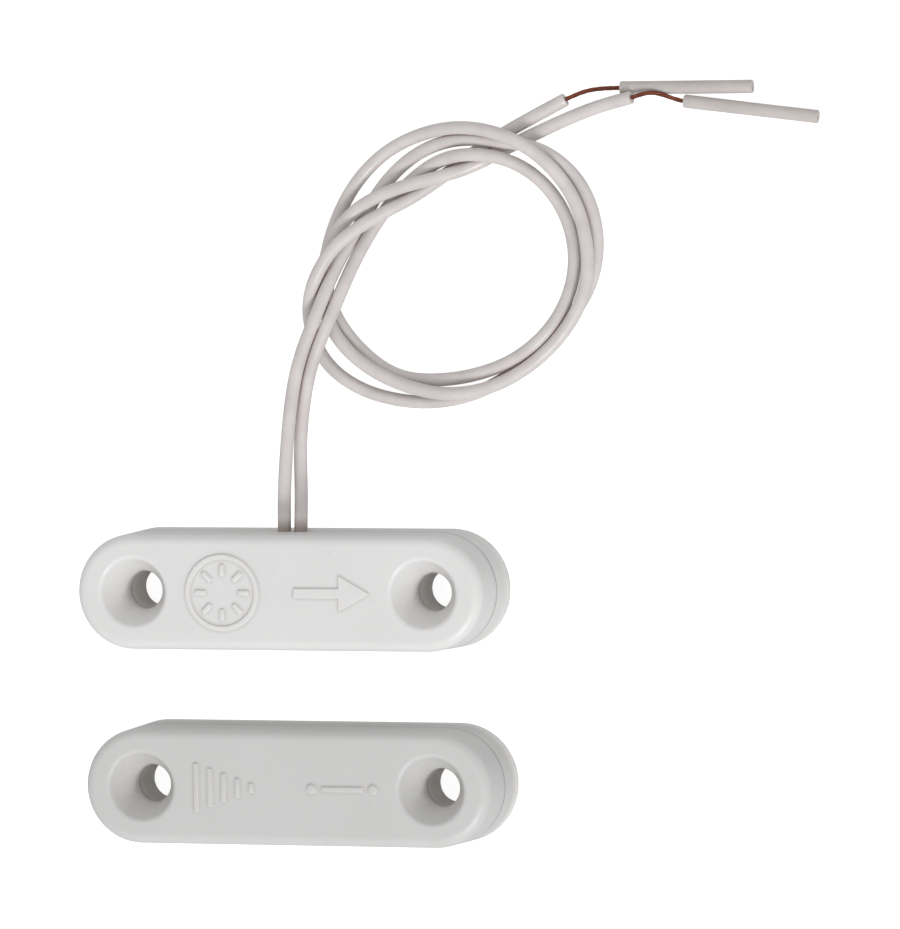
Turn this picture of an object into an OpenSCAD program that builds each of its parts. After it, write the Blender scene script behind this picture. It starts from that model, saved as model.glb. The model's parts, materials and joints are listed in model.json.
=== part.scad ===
// Surface-mount magnetic door contact: a wired switch half with a reed switch inside,
// a magnet half, and two free leads with slip-on end slugs.
// Millimetres. Origin: centre of the switch half's back face. +X runs along the housings,
// +Y points the way the leads leave, +Z points out of the front faces.

/* [Housing] */
// Length of each housing at its back face
housing_l = 40; // [36:0.5:50]
// Width of each housing at its back face
housing_w = 11.2; // [9.2:0.1:14]
// Height of each housing, back face to front face
housing_h = 9.5; // [7.8:0.1:12]
// Height of the seam between the rear and the front cover
seam_h = 4.4; // [3.6:0.1:5.4]
// How far each side leans in from back to front
side_draft = 0.2; // [0.1:0.05:0.4]
// Rounding of the front edge
face_edge_r = 1; // [0.4:0.1:1.4]
// Thickness of the long side walls
wall = 1.4; // [1.1:0.1:1.6]
// Thickness of the rear cover's floor
floor_t = 1.2; // [0.8:0.1:1.6]
// Thickness of the front cover's face
face_t = 1.3; // [1:0.1:1.8]
// Corner radius of the cavity
cavity_corner_r = 0.7; // [0.4:0.1:1]

/* [Seam lip] */
// Height of the rear cover's lip above the seam
lip_h = 0.8; // [0.4:0.1:1]
// Thickness of the lip
lip_t = 0.5; // [0.3:0.1:0.6]
// Clearance round the lip in the front cover
lip_clearance = 0.05; // [0.03:0.01:0.1]

/* [Screw holes] */
// Distance from each end of the housing to the middle of its screw hole
screw_inset = 5.8; // [5:0.1:6.6]
// Diameter of the bore for the screw's shank
bore_d = 3.7; // [3:0.1:4.4]
// Diameter of the screw head's sink at the front face
sink_d = 7.1; // [5.8:0.1:8]
// Depth of the sink below the front face
sink_depth = 3.3; // [2.6:0.1:3.8]
// Rounding of the sink's lip
sink_lip_r = 0.5; // [0.3:0.1:0.8]
// Wall between each sink and the cavity
boss_wall = 0.7; // [0.5:0.1:1]

/* [Reed switch] */
// Outer diameter of the glass capsule
glass_d = 2; // [1.8:0.1:2.4]
// Wall of the glass capsule
glass_wall = 0.22; // [0.18:0.01:0.25]
// Length of each glass end that is fused round its wire
glass_seal_l = 1.1; // [0.9:0.1:1.4]
// Diameter of the nickel-iron wires
reed_wire_d = 0.45; // [0.4:0.05:0.5]
// Clearance between each end of the reed's wires and the cavity's end
reed_end_gap = 1.35; // [0.8:0.05:1.6]
// Thickness of the flat blades
blade_t = 0.2; // [0.15:0.01:0.22]
// Width of the flat blades
blade_w = 0.8; // [0.6:0.05:0.9]
// Length over which the two blades lie on each other
blade_lap = 0.8; // [0.6:0.1:1.2]
// Gap between the moving blade and its wire
blade_root_gap = 0.05; // [0.04:0.01:0.1]
// Contact gap with the magnet half at its rest distance
contact_gap = 0.035; // [0.034:0.002:0.05]
// Distance from the housing's middle line to the capsule, towards the magnet half
reed_offset_y = 1; // [0.6:0.1:1.2]
// Length of each soft saddle under the glass
saddle_l = 1.6; // [1.2:0.1:2]
// Width of each saddle
saddle_w = 3.6; // [3:0.1:4]
// Distance from each end of the glass to its saddle
saddle_inset = 1.5; // [1.2:0.1:2]

/* [Leads] */
// Outer diameter of each lead
lead_d = 1.25; // [1:0.05:1.3]
// Diameter of the stranded conductor
core_d = 0.42; // [0.35:0.01:0.5]
// Gap between the two leads where they leave the housing
lead_gap = 0.35; // [0.2:0.05:0.7]
// Clearance round a lead in the covers' notches
notch_clearance = 0.05; // [0.03:0.01:0.1]
// Length of insulated lead inside the housing
lead_inside = 3; // [2.6:0.1:3.2]
// Length of the sealing compound along the leads
sealant_l = 1; // [0.8:0.1:1.2]
// Thickness of the sealing compound round the leads
sealant_t = 0.5; // [0.3:0.1:0.7]
// Diameter of each soldered joint
solder_d = 1.3; // [1.2:0.1:1.6]
// Length of each soldered joint
solder_l = 2.2; // [1.8:0.1:2.6]
// Length of reed wire that shows beyond each joint
solder_set_back = 0.2; // [0.1:0.1:0.5]
// Gap between each joint and the glass
solder_glass_gap = 1.2; // [1:0.1:1.5]
// Clearance between the inner conductors and the saddles
tail_clearance = 0.2; // [0.1:0.05:0.3]
// How far each inner conductor runs outwards while it turns along the glass
tail_bend = 0.8; // [0.6:0.1:0.8]

/* [End slugs] */
// Length of the slug on lead 1
slug_1_l = 12.7; // [10:0.1:16]
// Length of the slug on lead 2
slug_2_l = 12.9; // [10:0.1:16]
// Radial clearance between a slug and its conductor
slug_clearance = 0.03; // [0.02:0.01:0.05]
// How far each conductor ends inside its slug's outer end
core_recess = 0.5; // [0.2:0.1:1]

/* [Magnet half] */
// Gap between the two housings at rest
rest_gap = 7.1; // [6:0.1:12]
// Sideways offset of the magnet half at rest
magnet_shift = 0.6; // [0:0.1:2]
// Clearance between each end of the bar magnet and the cavity's end
magnet_end_gap = 2.45; // [0.5:0.05:4]
// Width of the bar magnet
magnet_w = 5; // [4:0.1:6]
// Height of the bar magnet
magnet_h = 4.6; // [3.8:0.1:5]
// Bevel along the bar magnet's edges
magnet_bevel = 0.3; // [0.2:0.1:0.5]
// Height of the ribs under the magnet
magnet_rib_h = 0.7; // [0.4:0.1:1]
// Thickness of those ribs
rib_t = 0.8; // [0.6:0.1:1]
// Distance from each end of the magnet to the middle of its rib
rib_inset = 3; // [1:0.1:4]

/* [Face marks] */
// Height of the raised marks on the front faces
mark_h = 0.18; // [0.08:0.01:0.2]
// Width of the raised lines
mark_line = 0.45; // [0.35:0.05:0.6]
// Distance between the screw sinks and the marks beside them
mark_gap = 1.65; // [1:0.05:2]
// Outer radius of the ticked ring on the switch half
dial_r = 3.6; // [3:0.1:3.8]
// Number of ticks inside the ring
dial_ticks = 8; // [6:1:12]
// Length of each tick
tick_l = 1.1; // [0.8:0.1:1.4]
// Gap between the ticks and the ring
tick_gap = 0.5; // [0.3:0.05:0.6]
// Length of the arrow beside the ring
arrow_l = 7.4; // [6:0.1:8]
// Width of the arrow's head
arrow_w = 3.4; // [2.8:0.1:4]
// Length of the arrow's head
arrow_head_l = 3; // [2.4:0.1:3.6]
// Number of ribs in the magnet half's ridge mark
ridge_count = 5; // [3:1:7]
// Gap between those ribs
ridge_gap = 0.9; // [0.6:0.1:1.2]
// Length of the dash beside them
dash_l = 4; // [3:0.1:5]
// Gap between the dash and the dots at its ends
dot_gap = 0.55; // [0.4:0.05:0.8]

/* [Hidden] */
$fn = 64;

cover_white = [0.90, 0.90, 0.88];
inner_white = [0.80, 0.80, 0.78];
lead_pink = [0.89, 0.82, 0.80];
copper = [0.55, 0.30, 0.22];
steel = [0.72, 0.72, 0.74];
overcut = 1;      // how far a cutter runs past the face it opens
embed = 0.05;     // how far a raised mark is rooted in its face

// Housing
end_x = housing_l / 2 - housing_w / 2;              // centres of the round ends
draft_angle = atan(side_draft / housing_h);
edge_z = housing_h - face_edge_r;
edge_x = housing_w / 2 - edge_z * tan(draft_angle) - face_edge_r / cos(draft_angle);
screw_x = housing_l / 2 - screw_inset;
rim_z = housing_h - sink_depth;                     // where the sink ends and the bore starts
sink_near_x = screw_x - sink_d / 2;                 // the sink's edge nearest to the middle
cavity_half_l = sink_near_x - boss_wall;
cavity_half_w = housing_w / 2 - wall;
ceiling_z = housing_h - face_t;
exit_y = housing_w / 2;
marks_end_x = sink_near_x - mark_gap;               // how far the marks reach to each side

// Reed switch and its solder joints, placed inwards from the cavity's ends
reed_y = -reed_offset_y;
wire_end_x = cavity_half_l - reed_end_gap;
solder_x = wire_end_x - solder_set_back - solder_l / 2;
solder_near_x = solder_x - solder_l / 2;            // the joint's end nearest to the middle
glass_end_x = solder_near_x - solder_glass_gap;
seal_x = glass_end_x - glass_seal_l;                // inner ends of the glass seals
blade_root_x = seal_x - blade_root_gap - blade_t / 2;   // axis on which the moving blade bends
saddle_x = glass_end_x - saddle_inset - saddle_l / 2;

// Inner conductors
lead_pitch = lead_d + lead_gap;
strip_y = exit_y - lead_inside;                     // where the insulation ends inside
lap_y = reed_y + reed_wire_d / 2 + core_d / 2;      // each lies beside the reed's wire there
glass_pass_y = reed_y + saddle_w / 2 + core_d / 2 + tail_clearance;

// Magnet half
magnet_y = -(housing_w + rest_gap);
magnet_z = floor_t + magnet_rib_h;
magnet_half_l = cavity_half_l - magnet_end_gap;
pad_h = ceiling_z - magnet_z - magnet_h;

// Leads: each starts inside the housing, then follows points chosen by hand
route_1 = concat([[-lead_pitch / 2, strip_y, seam_h], [-lead_pitch / 2, exit_y, seam_h]], [
    [-0.8, 9.5, 4.3], [-0.2, 17.5, 3.9], [0.7, 21.8, 3.8], [2.6, 26.4, 3.7],
    [3.9, 30.2, 2.6], [5.9, 34.2, 1.0], [8.2, 38.0, 0.7], [11.8, 41.0, 1.1],
    [15.9, 42.2, 1.8], [20.1, 41.9, 2.4], [23.7, 41.3, 1.9], [27.0, 38.5, 0.7],
    [28.7, 34.8, 0.7], [28.9, 30.8, 0.7], [27.5, 27.0, 0.7], [24.6, 23.7, 0.7],
    [21.3, 20.7, 0.7], [17.2, 18.4, 0.7], [13.0, 17.5, 0.7], [8.8, 17.8, 0.7],
    [5.0, 19.1, 0.7], [2.0, 21.6, 0.7], [0.9, 25.3, 1.4], [2.0, 28.8, 3.6],
    [4.1, 32.2, 3.6], [7.4, 34.7, 2.6], [10.9, 36.6, 1.3], [14.2, 38.8, 0.7],
    [17.8, 41.4, 0.7], [21.7, 43.6, 0.7], [26.0, 45.8, 0.7]]);
route_2 = concat([[lead_pitch / 2, strip_y, seam_h], [lead_pitch / 2, exit_y, seam_h]], [
    [0.6, 9.2, 3.4], [0.3, 13.0, 2.7], [0.7, 17.2, 2.8], [1.8, 21.7, 3.1],
    [3.8, 26.0, 3.3], [5.3, 30.2, 1.9], [7.3, 34.2, 0.7], [10.3, 37.8, 0.7],
    [13.9, 40.2, 1.6], [17.8, 40.8, 3.0], [21.6, 39.9, 2.1], [24.6, 37.2, 0.8],
    [26.5, 33.3, 0.7], [26.7, 29.2, 0.9], [25.1, 25.0, 1.9], [21.7, 21.9, 1.9],
    [17.8, 20.3, 1.2], [13.6, 19.6, 0.7], [9.5, 19.9, 0.7], [6.0, 22.2, 0.7],
    [3.2, 25.8, 0.7], [2.3, 30.0, 0.7], [3.3, 34.2, 0.7], [5.4, 38.1, 0.7],
    [8.5, 41.1, 0.7], [12.5, 42.8, 1.4], [16.6, 43.3, 2.8], [20.6, 42.6, 3.8],
    [23.9, 40.7, 3.1], [26.8, 37.0, 1.8], [28.2, 32.7, 2.0], [28.2, 28.4, 2.1],
    [26.3, 24.5, 2.1], [23.0, 21.2, 2.1], [19.0, 19.0, 2.1], [14.6, 18.3, 2.1],
    [10.2, 19.2, 2.0], [6.1, 21.3, 2.0], [3.2, 24.6, 2.0], [2.5, 28.6, 2.0],
    [3.2, 32.7, 2.0], [5.9, 35.7, 2.2], [9.8, 37.6, 2.2], [13.9, 38.6, 2.2],
    [17.4, 39.7, 1.6], [20.6, 41.5, 0.8], [28.3, 44.8, 0.8], [32.6, 45.9, 1.7]]);
tube_sides = 8;

// Bare conductors: the bend of each, where its slug starts, and the slug's way in the XY plane
bend_1 = [28.3, 46.6, 0.7];
bend_2 = [34.6, 46.3, 1.5];
slug_1_start = [31.3, 46.8, 0.7];
slug_2_start = [37.4, 45.5, 0.7];
slug_1_turn = 0;
slug_2_turn = -7;

function unit(v) = v / norm(v);
function last(list) = list[len(list) - 1];
function heading(turn) = [cos(turn), sin(turn), 0];

// Direction of a path at its point i
function tangent(path, i) =
    unit(path[min(i + 1, len(path) - 1)] - path[max(i - 1, 0)]);

// One ring of a tube of radius r, square to the path
function ring(path, i, r) =
    let (t = tangent(path, i), side = unit(cross(t, [0, 0, 1])), up = cross(side, t))
    [for (k = [0:tube_sides - 1])
        let (a = (k + 0.5) * 360 / tube_sides)
        path[i] + r * (cos(a) * side + sin(a) * up)];

// A tube of diameter d along a path, closed at both ends
module tube(path, d) {
    n = len(path);
    points = [for (i = [0:n - 1]) each ring(path, i, d / 2)];
    near = [for (k = [0:tube_sides - 1]) tube_sides - 1 - k];
    far = [for (k = [0:tube_sides - 1]) (n - 1) * tube_sides + k];
    walls = [for (i = [0:n - 2], k = [0:tube_sides - 1])
        let (a = i * tube_sides + k, b = i * tube_sides + (k + 1) % tube_sides)
        each [[a, b, b + tube_sides], [a, b + tube_sides, a + tube_sides]]];
    polyhedron(points = points, faces = concat([near], walls, [far]));
}

// Half of the housing's cross-section: a leaning side and a rounded front edge
module housing_half_section() {
    side_point = [edge_x + face_edge_r * cos(draft_angle), edge_z + face_edge_r * sin(draft_angle)];
    polygon([[0, 0], [housing_w / 2, 0], side_point, [edge_x, edge_z], [edge_x, housing_h],
        [0, housing_h]]);
    translate([edge_x, edge_z])
        circle(r = face_edge_r);
}

// The housing's outer shape, filled
module housing_block() {
    for (s = [-1, 1])
        translate([s * end_x, 0, 0])
            rotate_extrude()
                intersection() {
                    housing_half_section();
                    square([housing_w, 3 * housing_h]);
                }
    rotate([90, 0, 90])
        linear_extrude(2 * end_x, center = true)
            union() {
                housing_half_section();
                mirror([1, 0])
                    housing_half_section();
            }
}

// Rectangle with round corners, half sizes given
module round_box_2d(half_l, half_w, r) {
    square([2 * (half_l - r), 2 * half_w], center = true);
    square([2 * half_l, 2 * (half_w - r)], center = true);
    for (sx = [-1, 1], sy = [-1, 1])
        translate([sx * (half_l - r), sy * (half_w - r)])
            circle(r = r);
}

// Closed region from one height to another, as large as the cavity grown by a margin
module cavity(from_z, to_z, grow = 0) {
    translate([0, 0, from_z])
        linear_extrude(to_z - from_z)
            round_box_2d(cavity_half_l + grow, cavity_half_w + grow, cavity_corner_r + grow);
}

// Screw bore and head sink, on the Z axis
module screw_cut() {
    lip_x = sink_d / 2;
    lip_z = housing_h - sink_lip_r;
    reach = norm([lip_x - bore_d / 2, lip_z - rim_z]);
    lean = atan2(lip_z - rim_z, lip_x - bore_d / 2) + asin(sink_lip_r / reach);
    wall_l = sqrt(pow(reach, 2) - pow(sink_lip_r, 2));
    translate([0, 0, -overcut])
        cylinder(d = bore_d, h = rim_z + 2 * overcut);
    rotate_extrude()
        difference() {
            polygon([[0, rim_z], [bore_d / 2, rim_z],
                [bore_d / 2 + wall_l * cos(lean), rim_z + wall_l * sin(lean)],
                [lip_x, lip_z], [lip_x, housing_h + overcut], [0, housing_h + overcut]]);
            translate([lip_x, lip_z])
                circle(r = sink_lip_r);
        }
}

module screw_cuts() {
    for (s = [-1, 1])
        translate([s * screw_x, 0, 0])
            screw_cut();
}

// Notches that the two leads pass through
module lead_notches() {
    for (s = [-1, 1])
        translate([s * lead_pitch / 2, cavity_half_w - overcut, seam_h])
            rotate([-90, 0, 0])
                cylinder(d = lead_d + 2 * notch_clearance, h = wall + 2 * overcut);
}

// Rear cover: floor, lower walls and the lip above the seam
module rear_cover() {
    difference() {
        union() {
            intersection() {
                housing_block();
                translate([-housing_l, -housing_w, 0])
                    cube([2 * housing_l, 2 * housing_w, seam_h]);
            }
            cavity(seam_h - lip_h, seam_h + lip_h, lip_t);
        }
        cavity(floor_t, housing_h);
        screw_cuts();
    }
}

// Front cover: face with its raised marks, and upper walls, recessed for the lip
module front_cover() {
    difference() {
        union() {
            intersection() {
                housing_block();
                translate([-housing_l, -housing_w, seam_h])
                    cube([2 * housing_l, 2 * housing_w, 2 * housing_h]);
            }
            translate([0, 0, housing_h - embed])
                linear_extrude(mark_h + embed)
                    children();
        }
        cavity(0, ceiling_z);
        cavity(seam_h - overcut, seam_h + lip_h + lip_clearance, lip_t + lip_clearance);
        screw_cuts();
    }
}

// Raised ring with ticks, centred on the Z axis
module dial_mark() {
    difference() {
        circle(r = dial_r);
        circle(r = dial_r - mark_line);
    }
    for (i = [0:dial_ticks - 1])
        rotate(i * 360 / dial_ticks)
            translate([dial_r - mark_line - tick_gap - tick_l, -mark_line / 2])
                square([tick_l, mark_line]);
}

// Arrow that ends at the Y axis and points along +X, with a stem two lines wide
module arrow_mark() {
    translate([-arrow_l, -mark_line])
        square([arrow_l - arrow_head_l + embed, 2 * mark_line]);
    polygon([[-arrow_head_l, -arrow_w / 2], [0, 0], [-arrow_head_l, arrow_w / 2]]);
}

// Row of short ridges from the Y axis along +X, each one shorter than the one before
module ridge_mark() {
    for (i = [0:ridge_count - 1])
        translate([i * (mark_line + ridge_gap), -(ridge_count - i) * mark_line])
            square([mark_line, 2 * (ridge_count - i) * mark_line]);
}

// Plain dash between two dots two lines wide, which ends at the Y axis
module dash_mark() {
    dot_x = dash_l / 2 + dot_gap + mark_line;
    translate([-dot_x - mark_line, 0]) {
        square([dash_l, mark_line], center = true);
        for (s = [-1, 1])
            translate([s * dot_x, 0])
                circle(d = 2 * mark_line);
    }
}

module magnet_place() {
    translate([magnet_shift, magnet_y, 0])
        children();
}

module switch_rear_cover() {
    color(cover_white)
        difference() {
            rear_cover();
            lead_notches();
        }
}

module switch_front_cover() {
    color(cover_white)
        difference() {
            front_cover() {
                translate([dial_r - marks_end_x, 0])
                    dial_mark();
                translate([marks_end_x, 0])
                    arrow_mark();
            }
            lead_notches();
        }
}

// Glass capsule with a closed chamber and fused ends
module reed_glass() {
    bore_r = glass_d / 2 - glass_wall;
    color([0.65, 0.80, 0.75, 0.6])
        translate([0, reed_y, seam_h])
            rotate([0, 90, 0])
                difference() {
                    cylinder(d = glass_d, h = 2 * glass_end_x, center = true);
                    cylinder(r = bore_r, h = 2 * seal_x, center = true);
                    cylinder(d = reed_wire_d, h = 2 * (glass_end_x + overcut), center = true);
                }
}

// Round wire along X, from one place to another
module reed_wire(from_x, to_x) {
    translate([from_x, reed_y, seam_h])
        rotate([0, 90, 0])
            cylinder(d = reed_wire_d, h = to_x - from_x);
}

module reed_fixed_blade() {
    color(steel) {
        reed_wire(-wire_end_x, -seal_x);
        translate([-seal_x - embed, reed_y - blade_w / 2, seam_h - blade_t - contact_gap / 2])
            cube([seal_x + embed + blade_lap / 2, blade_w, blade_t]);
    }
}

// Flat blade with a round root, on whose axis it bends
module reed_moving_blade() {
    color(steel)
        translate([0, reed_y, seam_h + contact_gap / 2]) {
            translate([-blade_lap / 2, -blade_w / 2, 0])
                cube([blade_root_x + blade_lap / 2, blade_w, blade_t]);
            translate([blade_root_x, 0, blade_t / 2])
                rotate([90, 0, 0])
                    cylinder(d = blade_t, h = blade_w, center = true);
        }
}

module reed_end_wire() {
    color(steel)
        reed_wire(seal_x, wire_end_x);
}

// Two soft saddles that carry the glass above the floor
module reed_saddles() {
    color([0.75, 0.75, 0.72])
        for (s = [-1, 1])
            translate([s * saddle_x, reed_y, 0])
                difference() {
                    translate([-saddle_l / 2, -saddle_w / 2, floor_t])
                        cube([saddle_l, saddle_w, seam_h - floor_t]);
                    translate([-saddle_l, 0, seam_h])
                        rotate([0, 90, 0])
                            cylinder(d = glass_d, h = 2 * saddle_l);
                }
}

// Soldered joint: a short rod with round ends, about the wire and the conductor
module solder_joint(s) {
    straight = solder_l - solder_d;
    color([0.78, 0.78, 0.80])
        translate([s * solder_x, (reed_y + lap_y) / 2, seam_h])
            rotate([0, 90, 0])
                rotate_extrude()
                    intersection() {
                        union() {
                            square([solder_d, straight], center = true);
                            for (e = [-1, 1])
                                translate([0, e * straight / 2])
                                    circle(d = solder_d);
                        }
                        translate([0, -solder_l])
                            square([solder_d, 2 * solder_l]);
                    }
}

module solder_joint_1() {
    solder_joint(-1);
}

module solder_joint_2() {
    solder_joint(1);
}

// Sealing compound that grips both leads just inside the wall
module exit_sealant() {
    half_l = lead_pitch / 2 + lead_d / 2 + sealant_t;
    low = seam_h - lead_d / 2 - sealant_t;
    color([0.85, 0.83, 0.76])
        translate([-half_l, cavity_half_w - sealant_l, low])
            cube([2 * half_l, sealant_l, lead_d + 2 * sealant_t]);
}

module lead_1_insulation() {
    color(lead_pink)
        tube(route_1, lead_d);
}

module lead_2_insulation() {
    color(lead_pink)
        tube(route_2, lead_d);
}

// Bare conductor inside the housing, from the end of the insulation to its solder joint
function tail_path(s) = [
    [s * lead_pitch / 2, strip_y, seam_h],
    [s * (lead_pitch / 2 + tail_bend / 4), (strip_y + glass_pass_y) / 2, seam_h],
    [s * (lead_pitch / 2 + tail_bend), glass_pass_y, seam_h],
    [s * glass_end_x, glass_pass_y, seam_h],
    [s * (glass_end_x + solder_near_x) / 2, (glass_pass_y + lap_y) / 2, seam_h],
    [s * solder_near_x, lap_y, seam_h],
    [s * (solder_x + solder_l / 4), lap_y, seam_h]];

module lead_1_tail() {
    color(copper)
        tube(tail_path(-1), core_d);
}

module lead_2_tail() {
    color(copper)
        tube(tail_path(1), core_d);
}

// Bare conductor outside: from the insulation, through one bend, into the slug
function core_path(route, bend, start, turn, slug_l) =
    [last(route), bend, start, start + (slug_l - core_recess) * heading(turn)];

module lead_1_core() {
    color(copper)
        tube(core_path(route_1, bend_1, slug_1_start, slug_1_turn, slug_1_l), core_d);
}

module lead_2_core() {
    color(copper)
        tube(core_path(route_2, bend_2, slug_2_start, slug_2_turn, slug_2_l), core_d);
}

// Short sleeve of insulation that slides on the conductor
module slug(start, turn, slug_l) {
    color(lead_pink)
        translate(start)
            rotate([0, 90, turn])
                difference() {
                    cylinder(d = lead_d, h = slug_l);
                    translate([0, 0, -overcut])
                        cylinder(d = core_d + 2 * slug_clearance, h = slug_l + 2 * overcut);
                }
}

module lead_1_slug() {
    slug(slug_1_start, slug_1_turn, slug_1_l);
}

module lead_2_slug() {
    slug(slug_2_start, slug_2_turn, slug_2_l);
}

// Rib across the cavity, its top at the height zero
module magnet_rib() {
    translate([-rib_t / 2, -cavity_half_w - embed, -magnet_rib_h - embed])
        cube([rib_t, 2 * (cavity_half_w + embed), magnet_rib_h + embed]);
}

module magnet_rear_cover() {
    color(cover_white)
        magnet_place() {
            rear_cover();
            for (s = [-1, 1])
                translate([s * (magnet_half_l - rib_inset), 0, magnet_z])
                    magnet_rib();
        }
}

module magnet_front_cover() {
    color(cover_white)
        magnet_place()
            front_cover() {
                translate([-marks_end_x, 0])
                    ridge_mark();
                translate([marks_end_x, 0])
                    dash_mark();
            }
}

// Bar magnet with bevelled long edges, lying on the ribs
module bar_magnet() {
    half_w = magnet_w / 2;
    color([0.22, 0.22, 0.23])
        magnet_place()
            translate([-magnet_half_l, 0, magnet_z])
                rotate([90, 0, 90])
                    linear_extrude(2 * magnet_half_l)
                        polygon([[-half_w + magnet_bevel, 0], [half_w - magnet_bevel, 0],
                            [half_w, magnet_bevel], [half_w, magnet_h - magnet_bevel],
                            [half_w - magnet_bevel, magnet_h], [-half_w + magnet_bevel, magnet_h],
                            [-half_w, magnet_h - magnet_bevel], [-half_w, magnet_bevel]]);
}

// Foam pad that the front cover presses onto the magnet
module magnet_pad() {
    color(inner_white)
        magnet_place()
            translate([-magnet_half_l, -magnet_w / 2 + magnet_bevel, magnet_z + magnet_h])
                cube([2 * magnet_half_l, magnet_w - 2 * magnet_bevel, pad_h]);
}

switch_rear_cover();
switch_front_cover();
reed_glass();
reed_fixed_blade();
reed_moving_blade();
reed_end_wire();
reed_saddles();
solder_joint_1();
solder_joint_2();
exit_sealant();
lead_1_insulation();
lead_2_insulation();
lead_1_tail();
lead_2_tail();
lead_1_core();
lead_2_core();
lead_1_slug();
lead_2_slug();
magnet_rear_cover();
magnet_front_cover();
bar_magnet();
magnet_pad();
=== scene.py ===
"""Looks of a surface-mount magnetic door contact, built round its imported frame.

The switch half holds a reed switch and two leads, the magnet half holds a bar magnet. Every
piece is in metres in the frame's own axes: +X along the housings, +Y the way the leads leave,
+Z out of the front faces.
"""

from __future__ import annotations

import json
import logging
import math
from dataclasses import dataclass
from enum import Enum
from typing import Callable, Sequence

import bmesh
import bpy
from mathutils import Matrix, Vector
from mathutils.geometry import interpolate_bezier


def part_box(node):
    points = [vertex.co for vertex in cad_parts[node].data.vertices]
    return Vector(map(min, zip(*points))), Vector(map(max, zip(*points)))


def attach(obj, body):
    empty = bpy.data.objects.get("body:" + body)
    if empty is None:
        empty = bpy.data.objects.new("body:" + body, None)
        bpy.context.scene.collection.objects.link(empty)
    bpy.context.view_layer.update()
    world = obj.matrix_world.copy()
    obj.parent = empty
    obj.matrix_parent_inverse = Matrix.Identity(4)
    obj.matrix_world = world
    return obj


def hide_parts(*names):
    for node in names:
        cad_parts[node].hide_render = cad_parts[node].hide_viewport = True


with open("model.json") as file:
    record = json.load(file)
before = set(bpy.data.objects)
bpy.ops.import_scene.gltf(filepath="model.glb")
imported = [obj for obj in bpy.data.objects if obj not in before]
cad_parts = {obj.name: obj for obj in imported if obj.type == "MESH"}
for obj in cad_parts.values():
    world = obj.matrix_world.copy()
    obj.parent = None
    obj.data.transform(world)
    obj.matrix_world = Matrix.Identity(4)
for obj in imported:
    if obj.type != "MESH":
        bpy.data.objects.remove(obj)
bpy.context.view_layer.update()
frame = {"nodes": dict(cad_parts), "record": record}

LOG = logging.getLogger("door_contact")
MM = 0.001
BODY_OF_NODE = {
    node: body for body, nodes in frame["record"]["behaviour"]["bodies"].items() for node in nodes
}

Point = tuple[float, float, float]
Colour = tuple[float, float, float]
Span = tuple[float, float]
Socket = bpy.types.NodeSocket
Inputs = dict[str | int, object]  # values or sockets, by the inputs' names or places
Mesh = bmesh.types.BMesh
Edge = bmesh.types.BMEdge
Object = bpy.types.Object

SEAM_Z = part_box("switch_front_cover")[0].z
NOISE_SPREAD: Span = (0.3, 0.7)  # where most of a noise's values lie
COARSE, FINE = 2.0, 3.0  # octaves of a noise
CORNER_ANGLE = 50.0  # least angle of an edge that counts as a corner, in degrees


# ---- Shader building ------------------------------------------------------------------------


class Graph:
    """A small helper that adds and feeds the nodes of one node tree."""

    COLOUR_INPUTS = (6, 7)
    COLOUR_OUTPUT = 2

    def __init__(self, tree: bpy.types.NodeTree) -> None:
        """Keeps the tree that is filled, and empties it."""
        self.tree = tree
        tree.nodes.clear()

    def feed(self, node: bpy.types.Node, inputs: Inputs) -> None:
        """Links the sockets among some inputs to a node and sets the plain values.

        Args:
            node: The node.
            inputs: What its inputs get.
        """
        for key, value in inputs.items():
            if isinstance(value, Socket):
                self.tree.links.new(value, node.inputs[key])
            else:
                node.inputs[key].default_value = value

    def add(self, kind: str, inputs: Inputs | None = None, **settings: object) -> bpy.types.Node:
        """Adds a node.

        Args:
            kind: The node's Blender type name without "ShaderNode", or a full type name.
            inputs: What its inputs get; see feed.
            settings: Node properties, such as operation or samples.

        Returns:
            The new node.
        """
        full = kind if kind.startswith("Node") else "ShaderNode" + kind
        node = self.tree.nodes.new(full)
        for key, value in settings.items():
            setattr(node, key, value)
        self.feed(node, inputs or {})
        return node

    def noise(
        self, vector: Socket, scale: float | Socket, detail: float = COARSE, rough: float = 0.5
    ) -> Socket:
        """Adds a noise texture.

        Args:
            vector: The coordinates it reads.
            scale: Waves per metre.
            detail: Octaves.
            rough: Share that each octave keeps of the one before.

        Returns:
            The noise value's socket.
        """
        inputs = {"Vector": vector, "Scale": scale, "Detail": detail, "Roughness": rough}
        return self.add("TexNoise", inputs).outputs["Fac"]

    def remap(self, value: Socket, source: Span, target: Span) -> Socket:
        """Maps a value from one range to another, clamped.

        Args:
            value: The socket that is mapped.
            source: The range that is read.
            target: What its two ends become.

        Returns:
            The mapped value's socket.
        """
        ends = zip(("From Min", "From Max", "To Min", "To Max"), (*source, *target))
        return self.add("MapRange", {"Value": value, **dict(ends)}).outputs["Result"]

    def math(self, operation: str, left: Socket, right: float | Socket) -> Socket:
        """Joins two values with a Math node of the given operation."""
        return self.add("Math", {0: left, 1: right}, operation=operation).outputs[0]

    def mix(self, mask: Socket, first: Colour | Socket, second: Colour | Socket) -> Socket:
        """Mixes two colours by a mask.

        Args:
            mask: 0 gives the first colour, 1 the second.
            first: A colour or a socket.
            second: A colour or a socket.

        Returns:
            The mixed colour's socket.
        """
        pair = (value if isinstance(value, Socket) else (*value, 1.0) for value in (first, second))
        inputs = {"Factor": mask, **dict(zip(self.COLOUR_INPUTS, pair))}
        return self.add("Mix", inputs, data_type="RGBA").outputs[self.COLOUR_OUTPUT]


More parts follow.
